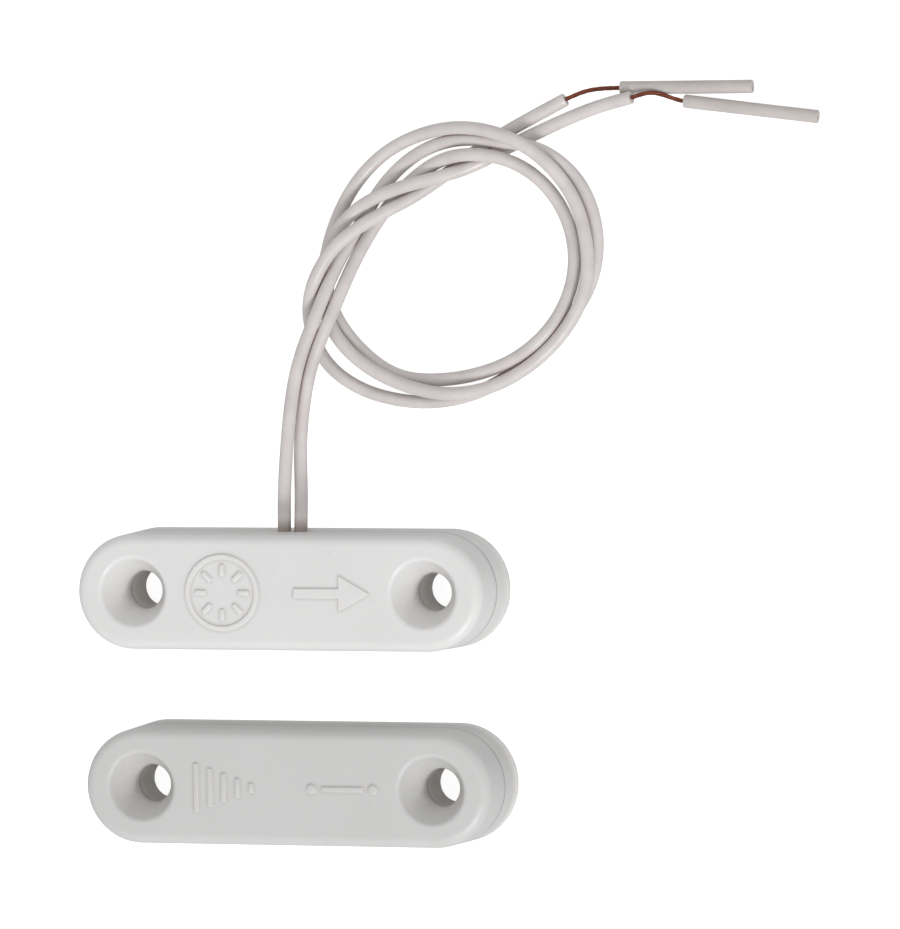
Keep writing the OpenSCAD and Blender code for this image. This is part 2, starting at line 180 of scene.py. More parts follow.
def moulded_grain() -> bpy.types.NodeTree:
    """The surface that moulded and extruded plastics share: a fine grain over slow waves.

    Returns:
        The node group, with inputs Vector, Grain Scale and Wave Scale, and outputs Height,
        Mottle and Specks.
    """
    usual_scales = (("Grain Scale", 3500.0), ("Wave Scale", 90.0))
    wave_height = 2.0  # over the grain's
    speck_scale = 0.35  # over the grain's
    speck_band: Span = (0.66, 0.78)
    found = bpy.data.node_groups.get("moulded_grain")
    if found:
        return found
    group = bpy.data.node_groups.new("moulded_grain", "ShaderNodeTree")
    graph = Graph(group)
    face = group.interface
    face.new_socket("Vector", in_out="INPUT", socket_type="NodeSocketVector")
    for name, value in usual_scales:
        socket = face.new_socket(name, in_out="INPUT", socket_type="NodeSocketFloat")
        socket.default_value = value
    for name in ("Height", "Mottle", "Specks"):
        face.new_socket(name, in_out="OUTPUT", socket_type="NodeSocketFloat")
    source = graph.add("NodeGroupInput")

    def layer(scale_name: str, factor: float, detail: float) -> Socket:
        """One noise layer whose scale is an input times a factor."""
        scale = graph.math("MULTIPLY", source.outputs[scale_name], factor)
        return graph.noise(source.outputs["Vector"], scale, detail)

    grain = layer("Grain Scale", 1.0, FINE)
    waves = layer("Wave Scale", 1.0, COARSE)
    specks = layer("Grain Scale", speck_scale, 1.0)
    height = graph.math("ADD", grain, graph.math("MULTIPLY", waves, wave_height))
    marked = graph.remap(specks, speck_band, (0.0, 1.0))
    graph.add("NodeGroupOutput", {"Height": height, "Mottle": waves, "Specks": marked})
    return group


@dataclass(frozen=True)
class Nook:
    """Places that other surfaces close in, where the materials paint bounce light and shade.

    Attributes:
        reach: How far away a surface counts, in metres.
        open_from: Openness from which a place is no nook.
        shut_at: Openness at which it is one fully.
    """

    reach: float
    open_from: float
    shut_at: float

    def mask(self, graph: Graph) -> Socket:
        """Adds a mask of these places to a material's graph."""
        node = graph.add("AmbientOcclusion", {"Distance": self.reach}, samples=8)
        return graph.remap(node.outputs["AO"], (self.shut_at, self.open_from), (1.0, 0.0))


@dataclass(frozen=True)
class Scatter:
    """How light spreads inside a plastic.

    Attributes:
        weight: Share of the light that enters.
        radius: How far each colour goes, over the scale.
        scale: The distance, in metres.
    """

    weight: float
    radius: Colour
    scale: float

    def inputs(self) -> Inputs:
        """What a Principled BSDF's inputs get."""
        names = ("Subsurface Weight", "Subsurface Radius", "Subsurface Scale")
        return dict(zip(names, (self.weight, self.radius, self.scale)))


@dataclass(frozen=True)
class Finish:
    """A finish: one named material, built once.

    Attributes:
        name: The material's name.
        colour: Its main colour.
        roughness: Its mean roughness.
        stray: How far the roughness strays from its mean, at a noise's low and high end.
        relief: How deep its grain, streaks or pores are, in metres.
    """

    name: str
    colour: Colour
    roughness: float
    stray: Span = (-0.08, 0.08)
    relief: float = 0.004 * MM

    def material(self) -> bpy.types.Material:
        """Gives the material, and builds it the first time.

        Returns:
            The material.
        """
        found = bpy.data.materials.get(self.name)
        if found:
            return found
        made = bpy.data.materials.new(self.name)
        made.use_nodes = True
        graph = Graph(made.node_tree)
        place = graph.add("TexCoord").outputs["Object"]
        shader = graph.add("BsdfPrincipled", self.dress(graph, place))
        graph.add("OutputMaterial", {"Surface": shader.outputs["BSDF"]})
        return made

    def dress(self, graph: Graph, place: Socket) -> Inputs:
        """Adds the finish's own detail. Each finish has its own.

        Args:
            graph: The material's graph.
            place: The coordinates to read.

        Returns:
            What the Principled BSDF's inputs get.
        """
        raise NotImplementedError

    def skin(self, graph: Graph, colour: Socket, noise: Socket, height: Socket) -> Inputs:
        """Turns colour, roughness noise and height into what the Principled BSDF gets.

        Args:
            graph: The material's graph.
            colour: The finished colour.
            noise: The noise that the roughness follows.
            height: The height, about 0 to 1.

        Returns:
            The inputs for colour, roughness and normal.
        """
        span = (self.roughness + self.stray[0], self.roughness + self.stray[1])
        bump = {"Strength": 1.0, "Distance": self.relief, "Height": height}
        return {
            "Base Color": colour,
            "Roughness": graph.remap(noise, NOISE_SPREAD, span),
            "Normal": graph.add("Bump", bump).outputs["Normal"],
        }

    def shade(self, factor: float) -> Colour:
        """The finish's colour, made lighter or darker by a factor."""
        return tuple(min(1.0, channel * factor) for channel in self.colour)


@dataclass(frozen=True)
class MouldedPlastic(Finish):
    """White injection-moulded plastic with a satin skin.

    Attributes:
        tint: Colour of the slow mottling.
        bounce_light: Painted bounce light: a lighter, warmer colour in the sinks and bores,
            standing in for light that bounces from wall to wall.
        dirt_and_shade: Colour of the dark line along the seam, and of the painted shade at the feet
            of the raised marks.
        mottle_band: Noise values over which the mottling rises.
        mottle_share: How strong it is.
        speck_shade: Factor for the colour of the specks.
        speck_share: How strong they are.
        hollow: The sinks and bores, where bounce light is painted.
        foot: The feet of the raised marks, where shade is painted.
        foot_shade_share: How strong the painted shade there is.
        seam_half: Half the width of the dirty line along the seam, in metres.
        seam_share: How dirty that line is.
        scatter: How light spreads inside.
    """

    stray: Span = (-0.06, 0.08)
    relief: float = 0.002 * MM
    tint: Colour = (0.79, 0.785, 0.775)
    # painted bounce light: a lighter, warmer colour laid in the sinks and bores
    bounce_light: Colour = (1.0, 0.965, 0.93)
    # colour of the seam line, also used for the painted shade at the marks' feet
    dirt_and_shade: Colour = (0.30, 0.27, 0.24)
    mottle_band: Span = (0.35, 0.7)
    mottle_share: float = 0.55
    speck_shade: float = 0.8
    speck_share: float = 0.15
    hollow: Nook = Nook(3.0 * MM, 0.9, 0.6)
    # painted shade at the feet of the raised marks
    foot: Nook = Nook(0.4 * MM, 0.95, 0.7)
    foot_shade_share: float = 0.5
    seam_half: float = 0.07 * MM
    seam_share: float = 0.8
    scatter: Scatter = Scatter(0.25, (1.0, 0.75, 0.6), 1.2 * MM)

    def dress(self, graph: Graph, place: Socket) -> Inputs:
        """Adds grain, mottling, specks, painted bounce light in the hollows, painted shade at the
        marks' feet and a seam line; see Finish.dress.
        """
        grain = graph.add("Group", {"Vector": place}, node_tree=moulded_grain())
        mottle, specks = grain.outputs["Mottle"], grain.outputs["Specks"]
        patches = graph.remap(mottle, self.mottle_band, (0.0, self.mottle_share))
        base = graph.mix(patches, self.colour, self.tint)
        dots = graph.math("MULTIPLY", specks, self.speck_share)
        speckled = graph.mix(dots, base, self.shade(self.speck_shade))
        # painted bounce light in the sinks and bores
        bounce_lit = graph.mix(self.hollow.mask(graph), speckled, self.bounce_light)
        # painted shade at the feet of the raised marks
        feet = graph.math("MULTIPLY", self.foot.mask(graph), self.foot_shade_share)
        foot_shaded = graph.mix(feet, bounce_lit, self.dirt_and_shade)
        split = graph.add("SeparateXYZ", {"Vector": place})
        above_seam = graph.math("SUBTRACT", split.outputs["Z"], SEAM_Z)
        off_seam = graph.math("ABSOLUTE", above_seam, 0.0)
        seam = graph.remap(off_seam, (self.seam_half, 2 * self.seam_half), (self.seam_share, 0.0))
        colour = graph.mix(seam, foot_shaded, self.dirt_and_shade)
        skin = self.skin(graph, colour, mottle, grain.outputs["Height"])
        return {**skin, **self.scatter.inputs()}


@dataclass(frozen=True)
class Insulation(Finish):
    """Soft extruded insulation, pinkish white, satin.

    Attributes:
        shadow: Colour of the painted shadow on the leads near the housing, where they leave it.
        shadow_from: Distance along Y at which the painted shadow starts, in metres.
        shadow_to: Distance along Y at which it is full, in metres.
        shadow_share: How strong it is there.
        contact: Colour of the painted shade along the lines where the leads touch.
        touch: Those lines.
        grain_scale: Grains per metre.
        wave_scale: Slow waves per metre.
        mottle_band: Noise values over which the mottling rises.
        shades: Factors for the colour where the mottling is low and where it is high.
        scatter: How light spreads inside.
    """

    stray: Span = (-0.05, 0.1)
    relief: float = 0.0025 * MM
    # painted shadow on the leads near the housing
    shadow: Colour = (0.26, 0.20, 0.165)
    shadow_from: float = 6.9 * MM
    shadow_to: float = 5.8 * MM
    shadow_share: float = 0.75
    # painted shade where the leads touch
    contact: Colour = (0.50, 0.36, 0.30)
    touch: Nook = Nook(0.6 * MM, 0.45, 0.05)
    grain_scale: float = 5200.0
    wave_scale: float = 420.0
    mottle_band: Span = (0.35, 0.68)
    shades: Span = (1.04, 0.93)
    scatter: Scatter = Scatter(0.2, (1.0, 0.6, 0.45), 0.5 * MM)

    def dress(self, graph: Graph, place: Socket) -> Inputs:
        """Adds grain, mottling, the painted shadow near the housing and the painted shade along the
        contact lines; see Finish.dress.
        """
        scales = {"Grain Scale": self.grain_scale, "Wave Scale": self.wave_scale}
        grain = graph.add("Group", {"Vector": place, **scales}, node_tree=moulded_grain())
        mottle = grain.outputs["Mottle"]
        patches = graph.remap(mottle, self.mottle_band, (0.0, 1.0))
        base = graph.mix(patches, self.shade(self.shades[0]), self.shade(self.shades[1]))
        split = graph.add("SeparateXYZ", {"Vector": place})
        # painted shadow, strongest where the leads leave the housing
        stretch = (self.shadow_to, self.shadow_from)
        near = graph.remap(split.outputs["Y"], stretch, (self.shadow_share, 0.0))
        exit_shadowed = graph.mix(near, base, self.shadow)
        # painted shade along the lines where the leads touch
        colour = graph.mix(self.touch.mask(graph), exit_shadowed, self.contact)
        skin = self.skin(graph, colour, mottle, grain.outputs["Height"])
        return {**skin, **self.scatter.inputs()}


@dataclass(frozen=True)
class Metal(Finish):
    """Bare metal with drawn streaks and tarnish.

    Attributes:
        tarnish: Colour of the tarnish.
        tarnish_share: How much of it there is, 0 to 1.
        streak: How many times finer the streaks are across than along X.
        streak_scale: Streaks per metre along X.
        stain_scale: Tarnished spots per metre.
        stain_rough: Share that each octave of the spots keeps of the one before.
        stain_band: Noise values over which the tarnish rises.
    """

    stray: Span = (-0.08, 0.14)
    tarnish: Colour = (0.2, 0.2, 0.2)
    tarnish_share: float = 0.5
    streak: float = 8.0
    streak_scale: float = 900.0
    stain_scale: float = 1400.0
    stain_rough: float = 0.6
    stain_band: Span = (0.4, 0.65)

    def dress(self, graph: Graph, place: Socket) -> Inputs:
        """Adds tarnish and streaks; see Finish.dress."""
        stretch = {"Vector": place, "Scale": (1.0, self.streak, self.streak)}
        drawn = graph.add("Mapping", stretch).outputs["Vector"]
        streaks = graph.noise(drawn, self.streak_scale, FINE)
        stains = graph.noise(place, self.stain_scale, FINE, self.stain_rough)
        mask = graph.remap(stains, self.stain_band, (0.0, self.tarnish_share))
        colour = graph.mix(mask, self.colour, self.tarnish)
        return {**self.skin(graph, colour, streaks, streaks), "Metallic": 1.0}


@dataclass(frozen=True)
class CapsuleGlass(Finish):
    """Clear greenish sealing glass.

    Attributes:
        index: Its refractive index.
        ripple_scale: Drawn ripples per metre.
        shades: Factors for the colour at the ripples' low and high end.
    """

    stray: Span = (0.0, 0.05)
    index: float = 1.52
    ripple_scale: float = 700.0
    shades: Span = (1.05, 0.95)

    def dress(self, graph: Graph, place: Socket) -> Inputs:
        """Makes it transmit, with a faint drawn ripple; see Finish.dress."""
        ripple = graph.noise(place, self.ripple_scale)
        colour = graph.mix(ripple, self.shade(self.shades[0]), self.shade(self.shades[1]))
        skin = self.skin(graph, colour, ripple, ripple)
        return {**skin, "Transmission Weight": 1.0, "IOR": self.index}


@dataclass(frozen=True)
class Cellular(Finish):
    """Foam, cured silicone and sintered ferrite: pores of a named size.

    Attributes:
        pore_scale: Pores per metre.
        dark: Factor for the colour inside the pores: painted shade in them.
        pore_band: Distances from a pore's middle, in pores, over which its wall rises.
        mottle_scale: Mottled patches per metre.
        mottle_band: Noise values over which the mottling rises.
        mottle_shade: Factor for the mottling's darker colour.
    """

    relief: float = 0.03 * MM
    pore_scale: float = 2500.0
    # painted shade inside the pores, as a factor on the colour
    dark: float = 0.75
    pore_band: Span = (0.1, 0.6)
    mottle_scale: float = 260.0
    mottle_band: Span = (0.35, 0.65)
    mottle_shade: float = 0.9

    def dress(self, graph: Graph, place: Socket) -> Inputs:
        """Adds pores with painted shade inside them, and mottling; see Finish.dress."""
        pores = graph.add("TexVoronoi", {"Vector": place, "Scale": self.pore_scale})
        height = graph.remap(pores.outputs["Distance"], self.pore_band, (0.0, 1.0))
        mottle = graph.noise(place, self.mottle_scale, FINE)
        patches = graph.remap(mottle, self.mottle_band, (0.0, 1.0))
        walls = graph.mix(patches, self.shade(self.mottle_shade), self.colour)
        # painted shade inside the pores
        colour = graph.mix(height, self.shade(self.dark), walls)
        return self.skin(graph, colour, mottle, height)


SWITCH_PLASTIC = MouldedPlastic("cover_plastic_white", (0.83, 0.83, 0.825), 0.36)
# painted shade: a slightly rougher copy of the same white plastic, made darker for the magnet half
MAGNET_PLASTIC = MouldedPlastic(
    "cover_plastic_white_shaded", (0.68, 0.68, 0.675), 0.38, tint=(0.65, 0.645, 0.635)
)
LEAD_PLASTIC = Insulation("lead_insulation_pinkish", (0.735, 0.69, 0.678), 0.30)
SLUG_PLASTIC = Insulation("slug_sleeve_pinkish", (0.63, 0.585, 0.565), 0.30)
COPPER = Metal("copper_strand_dull", (0.26, 0.085, 0.055), 0.38, tarnish=(0.09, 0.028, 0.02))
REED_METAL = Metal("nickel_iron_wire", (0.62, 0.60, 0.56), 0.30, tarnish=(0.42, 0.40, 0.36))
SOLDER = Metal("soft_solder", (0.70, 0.70, 0.71), 0.34, tarnish=(0.45, 0.45, 0.46), streak=1.0)
GLASS = CapsuleGlass("reed_capsule_glass", (0.80, 0.93, 0.87), 0.03)
SILICONE = Cellular("cured_silicone", (0.74, 0.73, 0.66), 0.55, pore_scale=900.0, dark=0.92)
FERRITE = Cellular(
    "sintered_ferrite", (0.06, 0.06, 0.065), 0.62, relief=0.01 * MM, pore_scale=5200.0, dark=0.7
)
FOAM = Cellular(
    "pad_foam_grey", (0.42, 0.42, 0.41), 0.9, relief=0.09 * MM, pore_scale=2200.0, dark=0.45
)


# ---- Mesh building --------------------------------------------------------------------------

SAME_POINT = 0.0015 * MM  # distance at which two points of a node's mesh are one
SAME_PLANE = 0.4  # angle at which two of its faces are one, in degrees
SPIN_SEAM = 0.0005 * MM  # distance at which a full turn's ends meet
FLAT_WEIGHT = 80  # how strongly large faces rule the normals, of 100


def place_piece(piece: Object, finish: Finish, node: str) -> Object:
    """Dresses a piece, rides it on its node's body and lets it stand for the node.

    Args:
        piece: The finished object, at the origin.
        finish: Its finish.
        node: The node that it stands for.

    Returns:
        The piece.
    """
    piece.data.materials.clear()
    piece.data.materials.append(finish.material())
    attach(piece, BODY_OF_NODE[node])
    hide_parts(node)
    LOG.info("piece %s stands for %s", piece.name, node)
    return piece


def add_object(name: str, data: bpy.types.ID) -> Object:
    """Adds an object with some data to the scene, at the origin."""
    made = bpy.data.objects.new(name, data)
    bpy.context.scene.collection.objects.link(made)
    return made


def object_from(name: str, mesh: Mesh, smooth: bool = True) -> Object:
    """Turns a bmesh into an object at the origin and frees it.

    Args:
        name: The object's name.
        mesh: The finished bmesh.
        smooth: Whether its faces are shaded smooth, but flat ones flat beside rounded edges.

    Returns:
        The object.
    """
    for polygon in mesh.faces:
        polygon.smooth = smooth
    data = bpy.data.meshes.new(name)
    mesh.to_mesh(data)
    mesh.free()
    made = add_object(name, data)
    if smooth:
        modifier = made.modifiers.new("flat_faces", "WEIGHTED_NORMAL")
        modifier.mode = "FACE_AREA"
        modifier.weight = FLAT_WEIGHT
    return made


def merged_copy(node: str) -> Mesh:
    """Copies a node's mesh, merges its loose triangles and clears the flat faces' inner edges.

    Args:
        node: The node's name.

    Returns:
        The new bmesh.
    """
    flat = math.radians(SAME_PLANE)
    made = bmesh.new()
    made.from_mesh(frame["nodes"][node].data)
    bmesh.ops.remove_doubles(made, verts=made.verts, dist=SAME_POINT)
    bmesh.ops.dissolve_limit(made, angle_limit=flat, verts=made.verts, edges=made.edges)
    made.normal_update()
    return made


def soften(
    mesh: Mesh,
    width: float,
    sharper_than: float = 24.0,
    segments: int = 3,
    only: Callable[[Edge], bool] | None = None,
) -> None:
    """Bevels the sharp edges of a mesh.

    Args:
        mesh: The bmesh.
        width: The bevel's width, in metres.
        sharper_than: Least angle of an edge that is bevelled, in degrees.
        segments: Steps across the bevel.
        only: Which of those edges to take; all if None.
    """
    least = math.radians(sharper_than)
    sharp = [
        edge
        for edge in mesh.edges
        if len(edge.link_faces) == 2
        and edge.calc_face_angle(0.0) > least
        and (only is None or only(edge))
    ]
    if sharp:
        bmesh.ops.bevel(
            mesh,
            geom=sharp,
            offset=width,
            offset_type="OFFSET",
            affect="EDGES",
            segments=segments,
            profile=0.5,
            material=-1,
            clamp_overlap=False,
        )


def softened_node(node: str, name: str, finish: Finish, width: float) -> None:
    """Builds a piece with a node's own shape and small rounded edges.

    Args:
        node: The node that it stands for.
        name: The piece's name.
        finish: Its finish.
        width: The width of its bevels, in metres.
    """
    mesh = merged_copy(node)
    soften(mesh, width)
    place_piece(object_from(name, mesh), finish, node)


def revolve(profile: Sequence[tuple[float, float]], steps: int = 48) -> Mesh:
    """Spins a closed outline round the X axis.

    Args:
        profile: Points as (place along X, distance from the axis), in order.
        steps: Steps of the full turn.

    Returns:
        The new bmesh, with its faces pointing outwards.
    """
    made = bmesh.new()
    corners = [made.verts.new((along, 0.0, radius)) for along, radius in profile]
    edges = [made.edges.new((a, b)) for a, b in zip(corners, corners[1:] + corners[:1])]
    bmesh.ops.spin(
        made,
        geom=corners + edges,
        cent=(0.0, 0.0, 0.0),
        axis=(1.0, 0.0, 0.0),
        angle=math.tau,
        steps=steps,
        use_merge=True,
        use_duplicate=False,
    )
    bmesh.ops.remove_doubles(made, verts=made.verts, dist=SPIN_SEAM)
    bmesh.ops.recalc_face_normals(made, faces=made.faces)
    made.normal_update()
    return made


# ---- Leads ----------------------------------------------------------------------------------

HANDLE_REACH = 0.34  # handle length over chord, which is an arc's for small turns
KNEE = 0.35  # where a rounded end is steepest, as a share of its length
END_WIDTHS = (0.90, 0.97, 1.0)  # shares of the radius at a rounded end, its knee and its start
SHEATH_SIDES = 8  # bevel resolution of the insulation
STRAND_SIDES = 2  # bevel resolution of a strand
OUTER_STRANDS = 6


def smooth_route(corners: Sequence[Vector], step: float, passes: int = 0) -> list[Vector]:
    """A smooth line through the corners, with an arc-like bend at each.

    Args:
        corners: The points that it passes through.
        step: The distance between its own points, about, in metres.
        passes: How often the line is relaxed, as a springy lead evens out its own bends.

    Returns:
        The line's points.
    """
    count = len(corners)
    ways = [
        (corners[min(i + 1, count - 1)] - corners[max(i - 1, 0)]).normalized()
        for i in range(count)
    ]
    line: list[Vector] = []
    for i in range(count - 1):
        chord = (corners[i + 1] - corners[i]).length
        samples = max(2, round(chord / step) + 1)
        bend = interpolate_bezier(
            corners[i],
            corners[i] + ways[i] * chord * HANDLE_REACH,
            corners[i + 1] - ways[i + 1] * chord * HANDLE_REACH,
            corners[i + 1],
            samples,
        )
        line.extend(bend if i == 0 else bend[1:])
    for _ in range(passes):
        middle = [(a + 2 * b + c) / 4 for a, b, c in zip(line, line[1:], line[2:])]
        line = [line[0], *middle, line[-1]]
    return line


def tube_curve(
    name: str, lines: Sequence[Sequence[Vector]], radius: float, sides: int, round_ends: float = 0.0
) -> Object:
    """A curve object with one round tube along each line.

    Args:
        name: The object's name.
        lines: The lines' points.
        radius: The tube's radius, in metres.
        sides: The bevel resolution.
        round_ends: How far from each end the tube starts to narrow, in metres; 0 for square.

    Returns:
        The curve object.
    """
    data = bpy.data.curves.new(name, "CURVE")
    data.dimensions = "3D"
    data.bevel_depth = radius
    data.bevel_resolution = sides
    data.use_fill_caps = True
    for line in lines:
        points = list(line)
        widths = [1.0] * len(points)
        if round_ends > 0.0:
            head = (points[1] - points[0]).normalized() * round_ends
            tail = (points[-1] - points[-2]).normalized() * round_ends
            points = [
                points[0],
                points[0] + head * KNEE,
                points[0] + head,
                *points[1:-1],
                points[-1] - tail,
                points[-1] - tail * KNEE,
                points[-1],
            ]
            widths = [*END_WIDTHS, *widths[1:-1], *reversed(END_WIDTHS)]
        spline = data.splines.new("POLY")
        spline.points.add(len(points) - 1)
        for target, point, width in zip(spline.points, points, widths):
            target.co = (*point, 1.0)
            target.radius = width
        spline.use_smooth = True
    return add_object(name, data)


@dataclass
class Lead:
    """One free lead: its insulation, its bare conductor and the slug on its end.

    Attributes:
        number: 1 or 2, as in the nodes' names.
        side: -1 for the lead at lower X where it leaves the housing, 1 for the other.
        route: The points that it follows outside the housing, in metres.
        bend: The point that the bare conductor bends through.
        slug_start: Where the slug begins on the conductor.
        slug_turn: The way that the slug points in the XY plane, in degrees.
        slug_length: The slug's length, in metres.
        diameter: The insulation's outer diameter, in metres.
        core_diameter: The stranded conductor's diameter, in metres.
        exit_pitch: Distance between the two leads where they leave, in metres.
        inside: Length of insulated lead inside the housing, in metres.
        core_recess: How far the conductor ends inside the slug, in metres.
        slug_clearance: Radial clearance of the slug on the conductor, in metres.
        slug_rounding: Rounding of the slug's rims, in metres.
        slug_waist: The slug's thickness half way along, over its thickness at the ends.
        end_rounding: Rounding of the insulation's ends, in metres.
        lift: Clearance over the surface that the lead lies on, in metres.
        core_tuck: How far the bare strands start inside the insulation, in metres.
        tail_tuck: The same inside the housing, in metres.
        tail_clearance: Gap between the tail and the capsule's saddles, in metres.
        tail_drift: How far the tail has moved aside on its way to the saddles, in metres.
        tail_bend: How far it has moved aside where it turns along them, in metres.
        twist_pitch: Length of one turn of the strands, in metres.
        relaxing: How often the route is relaxed.
        route_step: Distance between the insulation's points, in metres.
        core_step: Distance between the bare conductor's points, in metres.
        tail_step: Distance between the tail's points, in metres.
        aim_points: Points of the insulation's end over which its direction is taken.
    """

    number: int
    side: int
    route: Sequence[Point]
    bend: Point
    slug_start: Point
    slug_turn: float
    slug_length: float
    diameter: float = 1.25 * MM
    core_diameter: float = 0.42 * MM
    exit_pitch: float = 1.6 * MM
    inside: float = 3.0 * MM
    core_recess: float = 0.5 * MM
    slug_clearance: float = 0.03 * MM
    slug_rounding: float = 0.13 * MM
    slug_waist: float = 0.985
    end_rounding: float = 0.1 * MM
    lift: float = 0.01 * MM
    core_tuck: float = 0.6 * MM
    tail_tuck: float = 0.3 * MM
    tail_clearance: float = 0.2 * MM
    tail_drift: float = 0.2 * MM
    tail_bend: float = 0.8 * MM
    twist_pitch: float = 5.0 * MM
    relaxing: int = 14
    route_step: float = 0.5 * MM
    core_step: float = 0.25 * MM
    tail_step: float = 0.3 * MM
    aim_points: int = 4

    @property
    def strand_radius(self) -> float:
        """The radius of one strand, three of which fill the conductor's diameter."""
        return self.core_diameter / 6

    def exit_point(self) -> Vector:
        """Where the lead leaves the housing."""
        wall_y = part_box("switch_rear_cover")[1].y
        return Vector((self.side * self.exit_pitch / 2, wall_y, SEAM_Z))

    def centreline(self) -> list[Vector]:
        """The insulation's centreline, which stays on or above the surface that it lies on.

        Returns:
            Its points.
        """
        leave = self.exit_point()
        start = leave - Vector((0.0, self.inside, 0.0))
        corners = [start, leave, *(Vector(point) for point in self.route)]
        line = smooth_route(corners, self.route_step, self.relaxing)
        lowest = self.diameter / 2 + self.lift
        return [Vector((point.x, point.y, max(point.z, lowest))) for point in line]

    def strands(self, line: Sequence[Vector]) -> list[list[Vector]]:
        """Lays one strand along a line and the others round it.

        Args:
            line: The conductor's centreline.

        Returns:
            Each strand's points.
        """
        lay = 2 * self.strand_radius
        outer: list[list[Vector]] = [[] for _ in range(OUTER_STRANDS)]
        travelled = 0.0
        for i, point in enumerate(line):
            ahead = (line[min(i + 1, len(line) - 1)] - line[max(i - 1, 0)]).normalized()
            across = ahead.cross(Vector((0.0, 0.0, 1.0))).normalized()
            above = across.cross(ahead)
            travelled += (point - line[i - 1]).length if i else 0.0
            for k, strand in enumerate(outer):
                angle = math.tau * (k / OUTER_STRANDS + travelled / self.twist_pitch)
                strand.append(point + lay * (math.cos(angle) * across + math.sin(angle) * above))
        return [list(line), *outer]

    def build_insulation(self) -> Object:
        """Builds the insulated length.

        Returns:
            The curve object.
        """
        name = f"lead_{self.number}_sheath"
        line = self.centreline()
        piece = tube_curve(name, [line], self.diameter / 2, SHEATH_SIDES, self.end_rounding)
        return place_piece(piece, LEAD_PLASTIC, f"lead_{self.number}_insulation")

    def build_core(self) -> Object:
        """Builds the bare strands from the insulation's end into the slug.

        Returns:
            The curve object.
        """
        turn = math.radians(self.slug_turn)
        heading = Vector((math.cos(turn), math.sin(turn), 0.0))
        insulation = self.centreline()
        last = insulation[-1]
        way = (last - insulation[-self.aim_points]).normalized()
        slug = Vector(self.slug_start)
        corners = [
            last - way * self.core_tuck,
            last,
            Vector(self.bend),
            slug,
            slug + heading * (self.slug_length - self.core_recess),
        ]
        strands = self.strands(smooth_route(corners, self.core_step))
        name = f"lead_{self.number}_strands"
        piece = tube_curve(name, strands, self.strand_radius, STRAND_SIDES)
        return place_piece(piece, COPPER, f"lead_{self.number}_core")

    def build_slug(self) -> Object:
        """Builds the sleeve that slides on the conductor's end.

        Returns:
            The piece.
        """
        outer = self.diameter / 2
        bore = self.core_diameter / 2 + self.slug_clearance
        end = self.slug_length
        waist = (end / 2, outer * self.slug_waist)
        mesh = revolve([(0.0, bore), (0.0, outer), waist, (end, outer), (end, bore)])
        soften(mesh, self.slug_rounding, CORNER_ANGLE)
        turn = Matrix.Rotation(math.radians(self.slug_turn), 4, "Z")
        place = Matrix.Translation(Vector(self.slug_start)) @ turn
        bmesh.ops.transform(mesh, matrix=place, verts=mesh.verts)
        piece = object_from(f"lead_{self.number}_sleeve", mesh)
        return place_piece(piece, SLUG_PLASTIC, f"lead_{self.number}_slug")

    def build_tail(self) -> None:
        """Builds the bare end inside the housing, up to its solder joint."""
        low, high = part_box(f"lead_{self.number}_tail")
        joint_low, joint_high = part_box(f"solder_joint_{self.number}")
        start = self.exit_point() - Vector((0.0, self.inside, 0.0))
        saddle_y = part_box("reed_saddles")[1].y
        pass_y = saddle_y + self.core_diameter / 2 + self.tail_clearance
        lap_y = low.y + self.core_diameter / 2
        near = abs(start.x)
        capsule_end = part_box("reed_glass")[1].x
        joint_near = min(abs(joint_low.x), abs(joint_high.x))
        places = [
            (near, start.y + self.tail_tuck),
            (near, start.y),
            (near + self.tail_drift, (start.y + pass_y) / 2),
            (near + self.tail_bend, pass_y),
            (capsule_end, pass_y),
            ((capsule_end + joint_near) / 2, (pass_y + lap_y) / 2),
            (joint_near, lap_y),
            (max(abs(low.x), abs(high.x)), lap_y),
        ]
        corners = [Vector((self.side * x, y, SEAM_Z)) for x, y in places]
        strands = self.strands(smooth_route(corners, self.tail_step))
        name = f"lead_{self.number}_inner_strands"
        piece = tube_curve(name, strands, self.strand_radius, STRAND_SIDES)
        place_piece(piece, COPPER, f"lead_{self.number}_tail")

    def build(self) -> None:
        sheath = self.build_insulation()
        core = self.build_core()
        slug = self.build_slug()
        line = self.centreline()
        self.build_tail()


LEAD_1 = Lead(
    number=1,
    side=-1,
    route=(
        (-0.0008, 0.0095, 0.0043), (-0.0002, 0.0175, 0.0039), (0.0007, 0.0218, 0.0038),
        (0.0026, 0.0264, 0.0037), (0.0039, 0.0302, 0.0026), (0.0059, 0.0342, 0.0010),
        (0.0082, 0.0380, 0.0007), (0.0118, 0.0410, 0.0011), (0.0159, 0.0422, 0.0018),
        (0.0201, 0.0419, 0.0024), (0.0237, 0.0413, 0.0019), (0.0270, 0.0385, 0.0007),
        (0.0287, 0.0348, 0.0007), (0.0289, 0.0308, 0.0007), (0.0275, 0.0270, 0.0007),
        (0.0246, 0.0237, 0.0007), (0.0213, 0.0207, 0.0007), (0.0172, 0.0184, 0.0007),
        (0.0130, 0.0175, 0.0007), (0.0088, 0.0178, 0.0007), (0.0050, 0.0191, 0.0007),
        (0.0020, 0.0216, 0.0007), (0.0009, 0.0253, 0.0014), (0.0020, 0.0288, 0.0036),
        (0.0041, 0.0322, 0.0036), (0.0074, 0.0347, 0.0026), (0.0109, 0.0366, 0.0013),
        (0.0142, 0.0388, 0.0007), (0.0178, 0.0414, 0.0007), (0.0217, 0.0436, 0.0007),
        (0.0260, 0.0458, 0.0007),
    ),
    bend=(0.0283, 0.0466, 0.0007),
    slug_start=(0.0313, 0.0468, 0.0007),
    slug_turn=0.0,
    slug_length=12.7 * MM,
)

